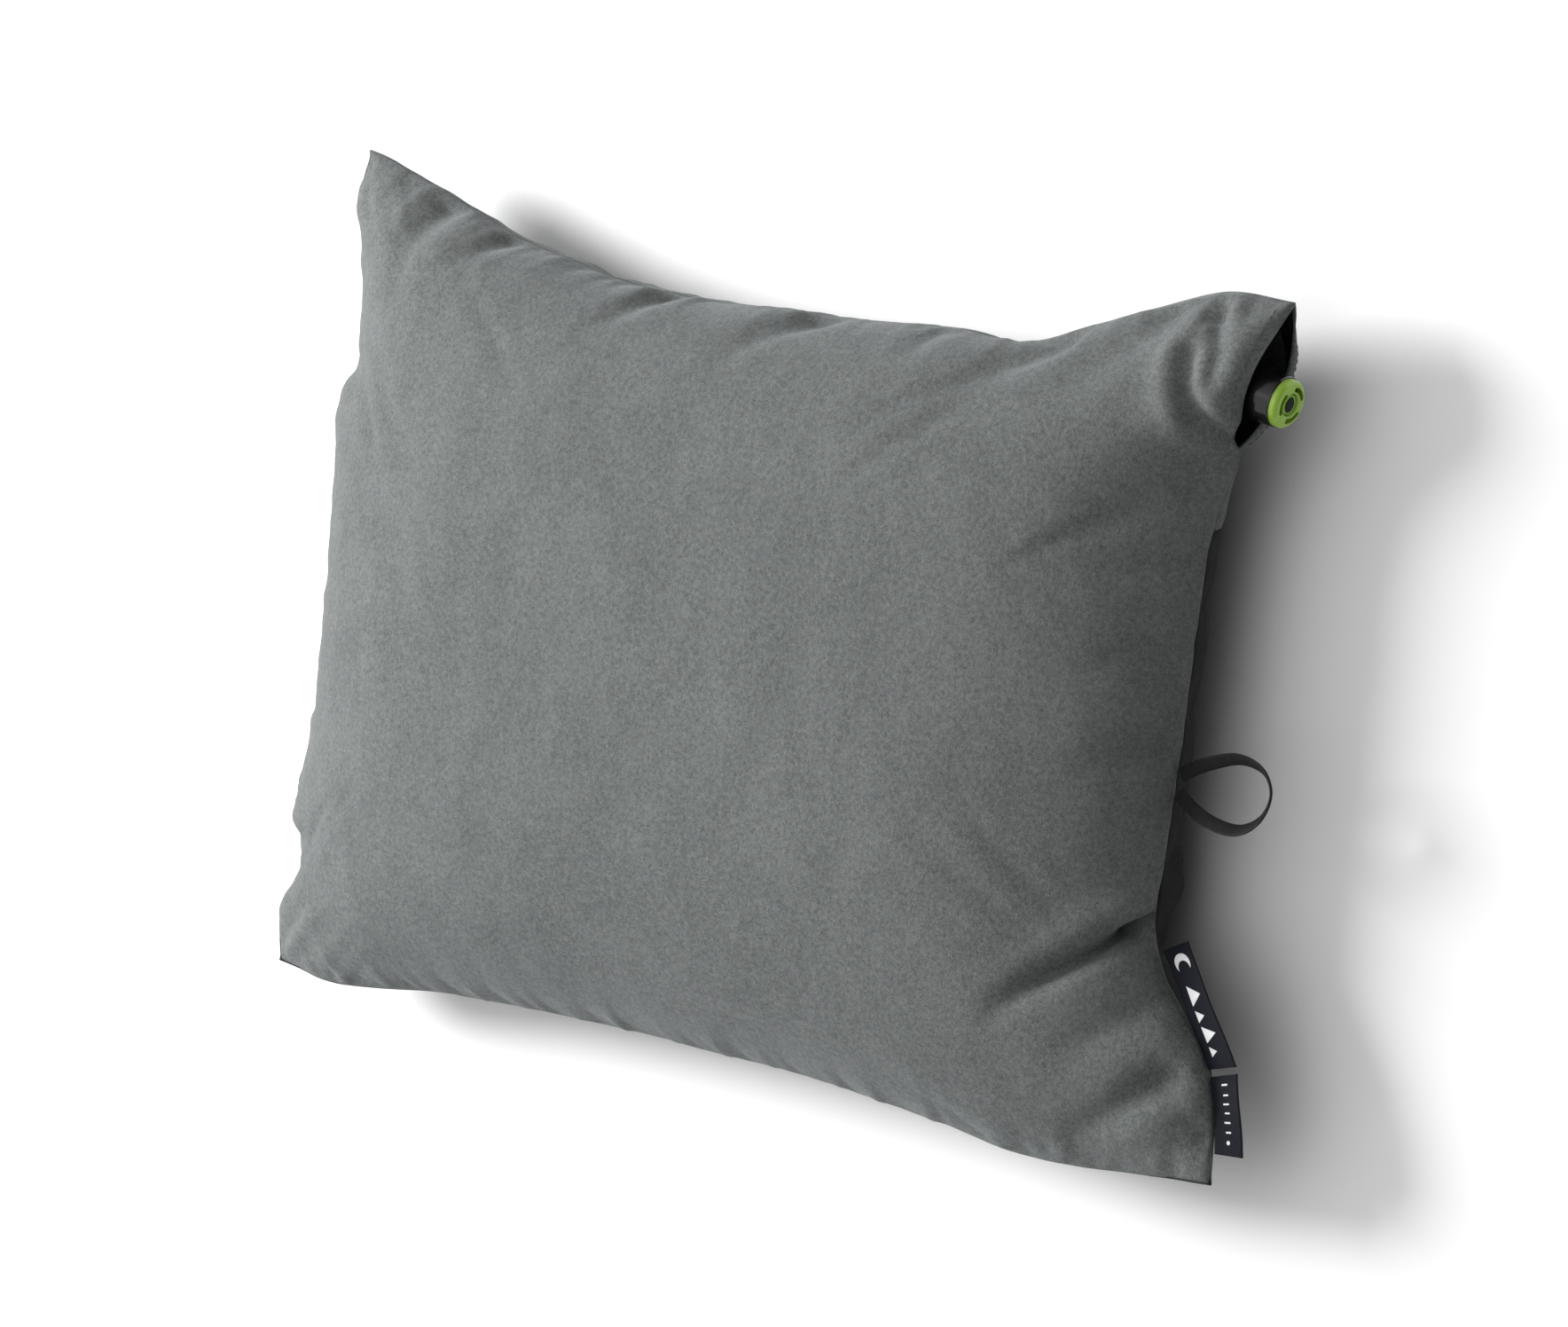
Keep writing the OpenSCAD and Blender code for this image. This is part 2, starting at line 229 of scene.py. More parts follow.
def new_mesh_object(name, points, faces):
    """A smooth-shaded mesh object from points in mm; faces is an array of quads, or a list of any faces."""
    if isinstance(faces, np.ndarray):
        faces = faces.tolist()
    mesh = bpy.data.meshes.new(name)
    mesh.from_pydata((np.asarray(points) * MM).tolist(), [], faces)
    mesh.polygons.foreach_set("use_smooth", [True] * len(mesh.polygons))
    mesh.update()
    obj = bpy.data.objects.new(name, mesh)
    scene.collection.objects.link(obj)
    return obj


def add_uv(obj, places):
    """A UV map in metres of flat cloth; places has one pair for each vertex."""
    layer = obj.data.uv_layers.new(name="cloth")
    corners = np.empty(len(obj.data.loops), int)
    obj.data.loops.foreach_get("vertex_index", corners)
    layer.data.foreach_set("uv", np.asarray(places)[corners].ravel())


def apply_modifiers(obj):
    evaluated = obj.evaluated_get(bpy.context.evaluated_depsgraph_get())
    made = bpy.data.meshes.new_from_object(evaluated)
    obj.modifiers.clear()
    obj.data = made


def thicken(obj, wall, inner_slot=1, rim_slot=0):
    """Turns a sheet into a closed thin shell, its outer face where it was."""
    solid = obj.modifiers.new("wall", "SOLIDIFY")
    solid.thickness = wall * MM
    solid.offset = -1
    solid.material_offset = inner_slot
    solid.material_offset_rim = rim_slot
    apply_modifiers(obj)


def normals_of(points):
    """Unit normals of a grid of points, upwards for a grid that runs +X then +Y."""
    du = np.gradient(points, axis=0)
    dv = np.gradient(points, axis=1)
    n = np.cross(du, dv)
    return n / np.maximum(np.linalg.norm(n, axis=-1, keepdims=True), 1e-9)


# ---------------------------------------------------------------- cloth

SIM_NU = 108
SIM_NV = 84
CLOTH_FRAMES = 20
CLOTH_CAP = 14
CREASE_BLUR = 55
SEAM_BLEND = 80


def arc_lengths(points):
    """Distance along a row of points, measured from its middle."""
    steps = np.linalg.norm(np.diff(points, axis=0), axis=1)
    run = np.concatenate([[0], np.cumsum(steps)])
    return run - run[len(run) // 2]


def flat_cut(nu, nv):
    """The flat rectangle that each panel is cut to: as wide and long as the arcs over the middle."""
    u, v = grid(nu, nv)
    points = front_shape(u, v)
    return arc_lengths(points[:, nv // 2]), arc_lengths(points[nu // 2])


def blur_matrix(places, width):
    """Weights that average values over a width in mm, for places that are unevenly spaced."""
    cell = np.gradient(places)
    weights = np.exp(-0.5 * ((places[:, None] - places[None, :]) / width) ** 2) * cell[None, :]
    return weights / weights.sum(1, keepdims=True)


def finer_matrix(coarse, fine):
    """Catmull-Rom weights from coarse + 1 evenly spaced values to fine + 1."""
    out = np.zeros((fine + 1, coarse + 1))
    for row in range(fine + 1):
        place = row * coarse / fine
        i = min(int(place), coarse - 1)
        t = place - i
        weights = (-0.5 * t + t * t - 0.5 * t ** 3, 1 - 2.5 * t * t + 1.5 * t ** 3,
                   0.5 * t + 2 * t * t - 1.5 * t ** 3, -0.5 * t * t + 0.5 * t ** 3)
        for k, w in zip((i - 1, i, i + 1, i + 2), weights):
            out[row, min(max(k, 0), coarse)] += w
    return out


def simulate_cover():
    """Inflates both panels, which are cut flat and sewn at the edge.

    Returns how far each grid point moves, in mm, without the slow overall swelling.
    """
    u, v = grid(SIM_NU, SIM_NV)
    shapes = front_shape(u, v), back_shape(u, v)
    across, up = flat_cut(SIM_NU, SIM_NV)
    flat = np.stack([*np.meshgrid(across, up, indexing="ij"), np.zeros_like(u)], -1)
    count = u.size
    on_edge = (np.abs(u) > 0.9999) | (np.abs(v) > 0.9999)
    sewn = (on_edge & (mouth(u, v) < 0.01)).ravel()
    index = np.arange(count)
    own = np.cumsum(~sewn) - 1
    back_index = np.where(sewn, index, count + own)
    points = np.concatenate([shapes[0].reshape(-1, 3), shapes[1].reshape(-1, 3)[~sewn]])
    rest = np.concatenate([flat.reshape(-1, 3), flat.reshape(-1, 3)[~sewn]])
    faces = np.concatenate([grid_faces(SIM_NU, SIM_NV), back_index[grid_faces(SIM_NU, SIM_NV, True)]])
    obj = new_mesh_object("cloth_work", points, faces)
    obj.shape_key_add(name="start")
    cut = obj.shape_key_add(name="cut")
    cut.data.foreach_set("co", (rest * MM).ravel())
    pinned = obj.vertex_groups.new(name="seam")
    pinned.add(np.flatnonzero(sewn).tolist(), 1.0, "REPLACE")
    modifier = obj.modifiers.new("cloth", "CLOTH")
    settings = modifier.settings
    settings.vertex_group_mass = "seam"
    settings.rest_shape_key = cut
    settings.quality = 6
    settings.mass = 0.15
    settings.tension_stiffness = 30
    settings.compression_stiffness = 30
    settings.shear_stiffness = 8
    settings.bending_stiffness = 2
    settings.air_damping = 4
    settings.use_pressure = True
    settings.uniform_pressure_force = 20
    settings.effector_weights.gravity = 0
    modifier.collision_settings.use_self_collision = False
    modifier.collision_settings.use_collision = False
    modifier.point_cache.frame_end = CLOTH_FRAMES
    for number in range(1, CLOTH_FRAMES + 1):
        scene.frame_set(number)
    evaluated = obj.evaluated_get(bpy.context.evaluated_depsgraph_get())
    after = np.empty(len(points) * 3)
    evaluated.data.vertices.foreach_get("co", after)
    after = after.reshape(-1, 3) / MM
    scene.frame_set(1)
    bpy.data.objects.remove(obj)
    moved = after - points
    far = np.linalg.norm(moved, axis=-1, keepdims=True)
    moved *= CLOTH_CAP * np.tanh(far / CLOTH_CAP) / np.maximum(far, 1e-6)
    both = moved[:count].reshape(*u.shape, 3), moved[back_index].reshape(*u.shape, 3)
    s, t = np.meshgrid(np.linspace(-1, 1, SIM_NU + 1), np.linspace(-1, 1, SIM_NV + 1), indexing="ij")
    inside = np.minimum((1 - np.abs(s)) * across[-1], (1 - np.abs(t)) * up[-1])
    hold = ramp(inside / SEAM_BLEND)[..., None]
    blur = blur_matrix(across, CREASE_BLUR), blur_matrix(up, CREASE_BLUR)
    fine = finer_matrix(SIM_NU, NU), finer_matrix(SIM_NV, NV)
    out = []
    for m in both:
        creases = m - hold * np.einsum("ij,jkc,lk->ilc", blur[0], m, blur[1])
        out.append(np.einsum("ij,jkc,lk->ilc", fine[0], creases, fine[1]))
    return out


# ---------------------------------------------------------------- folds that the cloth alone doesn't make

def near_path(x, y, path):
    """Distance to a path, the share of its length passed, and which side: +1 on the left."""
    path = np.array(path, float)
    steps = np.diff(path, axis=0)
    lengths = np.linalg.norm(steps, axis=1)
    starts = np.concatenate([[0], np.cumsum(lengths)[:-1]])
    best = np.full(x.shape, 1e9)
    share = np.zeros(x.shape)
    side = np.ones(x.shape)
    for p, d, length, start in zip(path[:-1], steps, lengths, starts):
        t = np.clip(((x - p[0]) * d[0] + (y - p[1]) * d[1]) / length ** 2, 0, 1)
        far = np.hypot(x - p[0] - t * d[0], y - p[1] - t * d[1])
        closer = far < best
        best = np.where(closer, far, best)
        share = np.where(closer, (start + t * length) / lengths.sum(), share)
        side = np.where(closer, np.sign(d[0] * (y - p[1]) - d[1] * (x - p[0])), side)
    return best, share, side


def fold(x, y, path, depth, width, end=0.0, lip=0.0):
    """A groove along a path, from depth at its first point to end at its last, with a raised lip beside it.

    The lip is on the left of the path if it's above 0, and on the right if it's below.
    """
    far, share, side = near_path(x, y, path)
    here = depth + (end - depth) * share
    groove = -here * np.exp(-(far / width) ** 2)
    ridge = abs(lip) * here * np.exp(-((far - 1.9 * width) / (1.2 * width)) ** 2) * (side * lip > 0)
    return groove + ridge


CREASE = [(263, -83), (252, -93), (238, -106), (220, -122), (203, -138)]
# path, depth, width, depth at the end, lip
FRONT_FOLDS = (
    (CREASE, 24, 5, 2, -0.12),
    ([(268, -128), (252, -141), (236, -156)], 3.5, 9, 1, 0.2),
    ([(284, -156), (262, -176), (240, -192)], 4.5, 7, 1.5, 0.3),
    ([(257, 190), (267, 175), (268, 162)], 5.0, 5, 3, 0.1),
    ([(252, 172), (256, 157), (264, 142), (277, 134)], 5.0, 5.5, 5, -0.45),
    ([(226, 188), (206, 164), (190, 146)], 4.5, 11, 0.5, 0.35),
    ([(-66, 172), (-76, 157), (-90, 143)], 6.0, 7, 0.8, -0.35),
    ([(34, 168), (15, 156), (-4, 140)], 6.5, 8, 0.8, -0.3),
    ([(176, 172), (160, 160), (132, 141)], 8.0, 8, 0.8, -0.35),
    ([(104, 168), (98, 152)], 3.5, 7, 0.5, -0.3),
    ([(-172, 184), (-182, 176), (-192, 170)], 5.5, 6, 1, -0.4),
    ([(-222, 190), (-233, 172), (-231, 150)], 5.0, 10, 1, 0.3),
    ([(-282, 108), (-262, 103), (-244, 99)], 5.0, 8, 0.5, -0.2),
    ([(-282, -150), (-262, -146), (-246, -140)], 4.0, 7, 0.5, 0.2),
    ([(264, 80), (246, 74), (228, 70)], 3.0, 6, 0.3, 0.3),
    ([(262, 38), (240, 30), (222, 20)], 2.6, 7, 0.3, 0.2),
    ([(262, -8), (244, -16), (226, -26)], 2.4, 7, 0.3, 0.2),
)
BACK_FOLDS = (
    ([(262, -60), (240, -66), (214, -76)], 7, 7, 1, 0.3),
    ([(255, -62), (249, -72), (247, -84)], -9, 6, -1, 0),
    ([(266, -98), (246, -112), (220, -124)], 7, 8, 1, 0.3),
    ([(262, 60), (236, 52), (200, 50)], 4, 8, 0.5, 0.2),
    ([(262, 10), (238, 4), (206, 4)], 4, 8, 0.5, 0.2),
    ([(-270, 60), (-240, 54), (-214, 52)], 4, 8, 0.5, 0.2),
    ([(-270, -80), (-238, -74), (-210, -72)], 4, 8, 0.5, 0.2),
    ([(-120, 176), (-116, 150), (-110, 128)], 4, 8, 0.5, 0.2),
    ([(60, 170), (52, 146), (48, 126)], 4, 8, 0.5, 0.2),
    ([(-60, -206), (-56, -180), (-50, -160)], 4, 8, 0.5, 0.2),
    ([(120, -202), (112, -178), (108, -160)], 4, 8, 0.5, 0.2),
)


def crinkle(q, seed, waves=(11, 14, 18, 24, 33)):
    """An uneven row of small puckers along a seam, from about -1 to 1."""
    rng = np.random.default_rng(seed)
    out = np.zeros_like(q)
    for wave in waves:
        out += np.sin(2 * np.pi * q / wave + rng.uniform(0, 6.3)) * rng.uniform(0.5, 1) * wave / 24
    return out / 2.2


PUCKER_IN = 7
PUCKER_DEPTH = 0.9


def seam_puckers(inside_x, inside_y, q_x, q_y, seed):
    """Puckers that are deepest a few mm in from the seam and fade over the next 30 mm."""
    def fade(d):
        return (d / PUCKER_IN) * np.exp(1 - d / PUCKER_IN)
    ripple = crinkle(q_y, seed) * fade(inside_x) + crinkle(q_x, seed + 1) * fade(inside_y)
    return ripple * PUCKER_DEPTH


def build_cover():
    """Final grids of the front and back panels, in mm, with the flat place of each point."""
    u, v = grid()
    across, up = flat_cut(NU, NV)
    q_x, q_y = np.meshgrid(across, up, indexing="ij")
    inside_x = np.minimum(q_x - across[0], across[-1] - q_x)
    inside_y = np.minimum(q_y - up[0], up[-1] - q_y)
    inside = np.minimum(inside_x, inside_y)
    shapes = [front_shape(u, v), back_shape(u, v)]
    shapes = [p + m for p, m in zip(shapes, simulate_cover())]
    clear = ramp(inside / 9)
    # the lips are free edges, so folds and puckers may reach them
    lip = (mouth(u, v) > 0.01) & (u > 0.9999)
    clear = np.where(lip, 1, clear)
    for k, folds in enumerate((FRONT_FOLDS, BACK_FOLDS)):
        p = shapes[k]
        n = normals_of(p) * (1 if k == 0 else -1)
        push = sum(fold(p[..., 0], p[..., 1], *f) for f in folds)
        push = push * clear + seam_puckers(inside_x, inside_y, q_x, q_y, 11 + 5 * k) * (1 - 0.5 * k)
        shapes[k] = p + n * push[..., None]
    # the full side hangs over the deep crease
    far, share, side = near_path(shapes[0][..., 0], shapes[0][..., 1], CREASE)
    hang = 9 * np.exp(-((far - 5) / 7) ** 2) * (1 - 0.85 * share) * (side < 0) * clear
    shapes[0] = shapes[0] + hang[..., None] * np.array((0.66, -0.75, 0))
    soften = (0.6 * np.exp(-(far / 16) ** 2) * clear)[1:-1, 1:-1, None]
    for _ in range(4):
        p = shapes[0]
        around = (p[2:, 1:-1] + p[:-2, 1:-1] + p[1:-1, 2:] + p[1:-1, :-2]) / 4
        p[1:-1, 1:-1] += (around - p[1:-1, 1:-1]) * soften
    # the seam itself wanders a little, the same on both panels
    near = np.exp(-inside / 9)
    wander = (crinkle(q_y, 41, (15, 22, 37)) * near * (inside_x < inside_y) * 0.5
              + crinkle(q_x, 43, (15, 22, 37)) * near * (inside_x >= inside_y) * 0.7)
    for p in shapes:
        p[..., 2] += wander
    back = shapes[1]
    back[..., 2] = np.maximum(back[..., 2], 0)
    return shapes[0], back, u, v, np.stack([q_x, q_y], -1)


# ---------------------------------------------------------------- materials

def material(name):
    """A new node material, its node tree and its shader."""
    mat = bpy.data.materials.new(name)
    mat.use_nodes = True
    return mat, mat.node_tree, mat.node_tree.nodes["Principled BSDF"]


def node(tree, kind, **values):
    """A new node, with each value set as a property of it or else on the socket of that name."""
    made = tree.nodes.new(kind)
    for key, value in values.items():
        if hasattr(made, key):
            setattr(made, key, value)
        else:
            made.inputs[key.replace("_", " ")].default_value = value
    return made


def noise(tree, vector, scale, detail=3.0, roughness=0.55, distortion=0.0):
    """The value of a noise texture; a scale of 1000 gives grains of about 1 mm."""
    made = node(tree, "ShaderNodeTexNoise", Scale=scale, Detail=detail, Roughness=roughness,
                Distortion=distortion)
    tree.links.new(vector, made.inputs["Vector"])
    return made.outputs["Fac"]


def spread(tree, value, low, high, out_low, out_high):
    """Maps low..high to out_low..out_high, and holds it there."""
    made = node(tree, "ShaderNodeMapRange")
    for key, number in zip(("From Min", "From Max", "To Min", "To Max"), (low, high, out_low, out_high)):
        made.inputs[key].default_value = number
    tree.links.new(value, made.inputs["Value"])
    return made.outputs["Result"]


def math_node(tree, operation, a, b=None):
    made = node(tree, "ShaderNodeMath", operation=operation)
    for socket, value in zip(made.inputs, (a, b)):
        if isinstance(value, (int, float)):
            socket.default_value = value
        elif value is not None:
            tree.links.new(value, socket)
    return made.outputs[0]


def tint(tree, factor, dark, light):
    """A colour between dark and light."""
    made = node(tree, "ShaderNodeMix", data_type="RGBA")
    made.inputs[6].default_value = (*dark, 1)
    made.inputs[7].default_value = (*light, 1)
    tree.links.new(factor, made.inputs[0])
    return made.outputs[2]


def bump(tree, shader, height, strength, distance):
    made = node(tree, "ShaderNodeBump", Strength=strength, Distance=distance)
    tree.links.new(height, made.inputs["Height"])
    tree.links.new(made.outputs["Normal"], shader.inputs["Normal"])


def place_of(tree):
    return node(tree, "ShaderNodeTexCoord").outputs["Object"]


def suede(name, dark, light):
    """Brushed microsuede: a fine speckled nap, stroked into lighter and darker patches."""
    mat, tree, shader = material(name)
    where = place_of(tree)
    grain = noise(tree, where, 1250, 4, 0.75)
    pebble = noise(tree, where, 420, 3, 0.6)
    stretch = node(tree, "ShaderNodeMapping")
    stretch.inputs["Scale"].default_value = (1.0, 0.55, 1.0)
    stretch.inputs["Rotation"].default_value = (0, 0, 0.5)
    tree.links.new(where, stretch.inputs["Vector"])
    patches = noise(tree, stretch.outputs["Vector"], 26, 5, 0.62, 0.6)
    strokes = noise(tree, stretch.outputs["Vector"], 85, 4, 0.6, 0.3)
    shade = math_node(tree, "ADD", spread(tree, grain, 0.3, 0.7, -0.55, 0.55),
                      spread(tree, pebble, 0.3, 0.7, -0.3, 0.3))
    nap = math_node(tree, "ADD", spread(tree, patches, 0.35, 0.65, 0.40, 0.62),
                    spread(tree, strokes, 0.3, 0.7, -0.08, 0.08))
    tree.links.new(tint(tree, math_node(tree, "ADD", shade, nap), dark, light),
                   shader.inputs["Base Color"])
    shader.inputs["Roughness"].default_value = 0.95
    shader.inputs["Specular IOR Level"].default_value = 0.15
    shader.inputs["Sheen Weight"].default_value = 0.26
    shader.inputs["Sheen Roughness"].default_value = 0.35
    shader.inputs["Sheen Tint"].default_value = (0.75, 0.8, 0.82, 1)
    bump(tree, shader, math_node(tree, "ADD", grain, pebble), 0.55, 0.0007)
    return mat


def weave(name, dark, light, pitch, rough, sheen=0.1, depth=0.0002):
    """Plain weave in the flat cloth's own directions, with slubs and faint creases."""
    mat, tree, shader = material(name)
    flat = node(tree, "ShaderNodeUVMap", uv_map="cloth").outputs["UV"]
    split = node(tree, "ShaderNodeSeparateXYZ")
    tree.links.new(flat, split.inputs[0])
    turns = math.pi / pitch
    warp, weft = (
        math_node(tree, "ABSOLUTE", math_node(tree, "SINE", math_node(tree, "MULTIPLY", axis, turns)))
        for axis in (split.outputs[0], split.outputs[1]))
    squares = node(tree, "ShaderNodeTexChecker", Scale=1 / pitch)
    tree.links.new(flat, squares.inputs["Vector"])
    cross = node(tree, "ShaderNodeMix")
    tree.links.new(squares.outputs["Fac"], cross.inputs[0])
    tree.links.new(warp, cross.inputs[2])
    tree.links.new(weft, cross.inputs[3])
    threads = cross.outputs[0]
    where = place_of(tree)
    slubs = noise(tree, where, 500, 3, 0.6)
    cloud = noise(tree, where, 22, 4, 0.6, 0.5)
    level = math_node(tree, "ADD", spread(tree, threads, 0, 1, 0, 0.55),
                      math_node(tree, "ADD", spread(tree, slubs, 0.3, 0.7, -0.12, 0.12),
                                spread(tree, cloud, 0.3, 0.7, 0, 0.45)))
    tree.links.new(tint(tree, level, dark, light), shader.inputs["Base Color"])
    tree.links.new(spread(tree, cloud, 0.3, 0.7, rough - 0.08, rough + 0.08), shader.inputs["Roughness"])
    shader.inputs["Specular IOR Level"].default_value = 0.10
    shader.inputs["Sheen Weight"].default_value = sheen
    bump(tree, shader, math_node(tree, "ADD", threads, slubs), 0.6, depth)
    return mat


def plastic(name, dark, light, rough, coat=0.0, grain_scale=700, depth=0.00003):
    """Moulded plastic: a faint texture, uneven gloss and slightly varied colour."""
    mat, tree, shader = material(name)
    where = place_of(tree)
    grain = noise(tree, where, grain_scale, 3, 0.5)
    wear = noise(tree, where, 90, 5, 0.65, 0.4)
    tree.links.new(tint(tree, spread(tree, wear, 0.3, 0.7, 0, 1), dark, light), shader.inputs["Base Color"])
    tree.links.new(spread(tree, wear, 0.35, 0.7, rough * 0.75, rough * 1.3), shader.inputs["Roughness"])
    shader.inputs["Coat Weight"].default_value = coat
    shader.inputs["Coat Roughness"].default_value = 0.08
    bump(tree, shader, grain, 0.4, depth)
    return mat


SUEDE = suede("microsuede", (0.080, 0.086, 0.085), (0.174, 0.184, 0.182))
BACK_CLOTH = weave("back_weave", (0.010, 0.010, 0.011), (0.032, 0.032, 0.033), 0.0009, 0.62, 0.02)
LINING = weave("lining", (0.005, 0.005, 0.006), (0.018, 0.018, 0.019), 0.0007, 0.55, 0.01)
TAPE = weave("hem_tape", (0.006, 0.006, 0.007), (0.022, 0.022, 0.023), 0.0011, 0.5, 0.01)
BRAID = weave("elastic_braid", (0.004, 0.004, 0.004), (0.022, 0.022, 0.023), 0.0007, 0.42, 0.01)
LABEL = weave("label_weave", (0.004, 0.005, 0.009), (0.012, 0.013, 0.020), 0.0005, 0.55, 0.02)
THREAD = weave("white_thread", (0.60, 0.60, 0.60), (0.92, 0.92, 0.92), 0.0005, 0.6, 0.2)
STITCH = plastic("grey_thread", (0.065, 0.068, 0.068), (0.10, 0.104, 0.104), 0.8, 0, 2500, 0.00008)
FOAM = suede("foam", (0.62, 0.54, 0.30), (0.80, 0.72, 0.46))
FILM = plastic("bladder_film", (0.44, 0.46, 0.44), (0.56, 0.58, 0.55), 0.35)
WEB = plastic("web_film", (0.55, 0.57, 0.58), (0.66, 0.68, 0.68), 0.45)
BLACK = plastic("black_plastic", (0.008, 0.008, 0.008), (0.014, 0.014, 0.014), 0.42)
KNOB = plastic("knob_plastic", (0.004, 0.004, 0.004), (0.008, 0.008, 0.008), 0.16, 0.35, 900, 0.00002)
GREEN = plastic("green_plastic", (0.30, 0.50, 0.050), (0.35, 0.57, 0.070), 0.32, 0.15)
HUB = plastic("hub_plastic", (0.22, 0.40, 0.04), (0.30, 0.50, 0.06), 0.36)
BADGE = plastic("badge_plastic", (0.005, 0.007, 0.010), (0.010, 0.013, 0.018), 0.5, 0.0)
RUBBER = plastic("seal_rubber", (0.020, 0.020, 0.020), (0.035, 0.035, 0.035), 0.75)
STEEL = plastic("clip_steel", (0.42, 0.42, 0.43), (0.55, 0.55, 0.56), 0.3)
for mat, socket, value in ((STEEL, "Metallic", 1.0), (KNOB, "Specular IOR Level", 0.3),
                           (BLACK, "Specular IOR Level", 0.3), (BADGE, "Specular IOR Level", 0.15)):
    mat.node_tree.nodes["Principled BSDF"].inputs[socket].default_value = value


def finish_piece(obj, body, slot, nodes, *materials):
    """Gives a piece its materials and its body, and hides the CAD nodes that it stands for. The slot is not
    used.
    """
    obj.data.materials.clear()
    for mat in materials:
        obj.data.materials.append(mat)
    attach(obj, body)
    if nodes:
        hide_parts(*nodes)
    return obj


# ---------------------------------------------------------------- cover

BAND_V = 0.52
COVER_WALL = 1.1
BACK_WALL = 1.0
CROSS_SEAM_DEPTH = 1.4
CROSS_SEAM_WIDTH = 3.2
front_grid, back_grid, grid_u, grid_v, flat_places = build_cover()
band_row = int(np.argmin(np.abs(grid_v[NU // 2] - BAND_V)))
# the cross seam on the back is drawn in where the band meets the black panel
from_seam = np.abs(flat_places[..., 1] - flat_places[0, band_row, 1])
from_ends = NU / 2 - np.abs(np.arange(NU + 1) - NU / 2)
drawn_in = -CROSS_SEAM_DEPTH * np.exp(-(from_seam / CROSS_SEAM_WIDTH) ** 2) * ramp(from_ends / 6)[:, None]
back_grid += -normals_of(back_grid) * drawn_in[..., None]
back_grid[..., 2] = np.maximum(back_grid[..., 2], 0)

front = new_mesh_object("front_cover", front_grid.reshape(-1, 3), grid_faces(NU, NV))
add_uv(front, flat_places.reshape(-1, 2) * MM)
front.data.materials.append(SUEDE)
front.data.materials.append(LINING)
thicken(front, COVER_WALL)
finish_piece(front, "pillow", "microsuede", ["cover_front_panel"], SUEDE, LINING)


def back_part(name, first, last, slot, cad, outer):
    """The rows of the back from first to last, as one piece."""
    points = back_grid[:, first:last + 1]
    obj = new_mesh_object(name, points.reshape(-1, 3), grid_faces(NU, last - first, True))
    add_uv(obj, flat_places[:, first:last + 1].reshape(-1, 2) * MM)
    obj.data.materials.append(outer)
    obj.data.materials.append(LINING)
    thicken(obj, BACK_WALL)
    finish_piece(obj, "pillow", slot, [cad], outer, LINING)


back_part("back_panel", 0, band_row, "back_weave", "cover_back_panel", BACK_CLOTH)
back_part("back_band", band_row, NV, "microsuede", "cover_back_band", SUEDE)


# ---------------------------------------------------------------- thread

def tube(path, radius, sides=6):
    """Points and faces of a round thread along a path of points, with closed, rounded ends."""
    path = np.array(path, float)
    tangents = np.gradient(path, axis=0)
    tangents /= np.maximum(np.linalg.norm(tangents, axis=1, keepdims=True), 1e-9)
    points, faces = [], []
    count = len(path)
    for k, (p, t) in enumerate(zip(path, tangents)):
        across = np.cross(t, (0.3, 0.2, 0.93))
        across /= np.linalg.norm(across)
        over = np.cross(t, across)
        size = radius * (0.55 if k in (0, count - 1) else 1)
        for m in range(sides):
            angle = 2 * math.pi * m / sides
            points.append(p + size * (math.cos(angle) * across + math.sin(angle) * over))
    for k in range(count - 1):
        for m in range(sides):
            a = k * sides + m
            b = k * sides + (m + 1) % sides
            faces.append((a, b, b + sides, a + sides))
    faces.append(tuple(range(sides))[::-1])
    faces.append(tuple((count - 1) * sides + m for m in range(sides)))
    return points, faces


def stitches(name, line, lift, mat, slot, length=2.6, gap=1.1, radius=0.24):
    """A row of short stitches along a line of points; lift moves their middles off the cloth."""
    line = np.array(line, float)
    run = np.concatenate([[0], np.cumsum(np.linalg.norm(np.diff(line, axis=0), axis=1))])
    points, faces = [], []
    start = gap
    while start + length < run[-1]:
        places = np.linspace(start, start + length, 5)
        path = np.stack([np.interp(places, run, line[:, c]) for c in range(3)], -1)
        rise = np.stack([np.interp(places, run, lift[:, c]) for c in range(3)], -1)
        path = path + rise * (np.sin(np.linspace(0, np.pi, 5)) * 0.42 - 0.12)[:, None]
        more_points, more_faces = tube(path, radius)
        base = len(points)
        points += more_points
        faces += [tuple(base + m for m in f) for f in more_faces]
        start += length + gap
    return finish_piece(new_mesh_object(name, points, faces), "pillow", slot, [], mat)


def grid_line(points, place, axis):
    """The line of a grid at a fractional place along an axis, between two of its lines."""
    low = int(place)
    t = place - low
    taken = [np.take(points, low + k, axis=axis) for k in (0, 1)]
    return taken[0] * (1 - t) + taken[1] * t


front_normals = normals_of(front_grid)
back_normals = -normals_of(back_grid)
LIP_GAP = 0.3
STITCH_IN = 2.4
lip_rows = np.flatnonzero(mouth(grid_u, grid_v)[NU] > LIP_GAP)
lip_slice = slice(lip_rows[0], lip_rows[-1] + 1)
for name, points, normals in (("lip_stitch_front", front_grid, front_normals),
                              ("lip_stitch_back", back_grid, back_normals)):
    stitches(name, grid_line(points, NU - STITCH_IN, 0)[lip_slice],
             grid_line(normals, NU - STITCH_IN, 0)[lip_slice], STITCH, "microsuede")
for name, offset in (("cross_stitch_a", 1.3), ("cross_stitch_b", -2.3)):
    inner = slice(6, NU - 5)
    stitches(name, grid_line(back_grid, band_row + offset, 1)[inner],
             grid_line(back_normals, band_row + offset, 1)[inner], STITCH, "microsuede", length=2.8)

